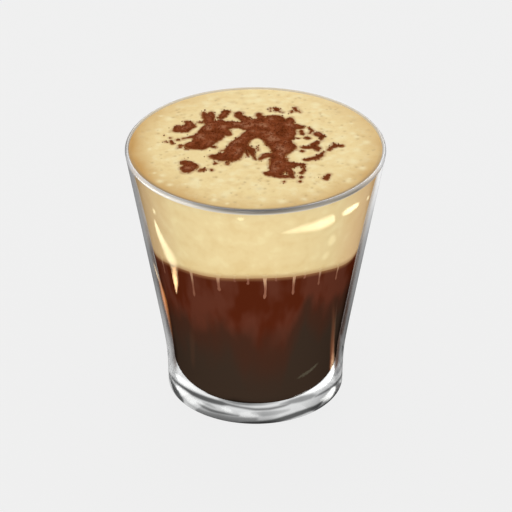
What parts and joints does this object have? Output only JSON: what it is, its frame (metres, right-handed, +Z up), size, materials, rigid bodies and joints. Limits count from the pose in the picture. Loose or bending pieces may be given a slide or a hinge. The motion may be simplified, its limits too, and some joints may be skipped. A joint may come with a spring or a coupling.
{
  "type": "egg coffee",
  "caption": "Egg coffee in a clear flared tumbler: black coffee, whipped egg cream up to the rim with runs down the wall, and a cocoa dusting.",
  "frame": {"origin": "centre of the glass's foot, on the surface that the glass stands on", "axes": "+Z up along the glass's axis, -Y towards the viewer of the picture, +X to the viewer's right"},
  "size_m": [0.08, 0.08, 0.0847],
  "materials": {
    "clear_glass": "smooth clear pressed glass",
    "black_coffee": "dark opaque coffee, redder under the cream and nearly black below",
    "egg_cream": "matte pale yellow whipped egg cream, tan at the rim",
    "cocoa_powder": "dry matte cocoa in loose clumps"
  },
  "bodies": {
    "root": {"glass": "clear_glass", "coffee": "black_coffee", "egg_cream": "egg_cream"}
  },
  "joints": []
}
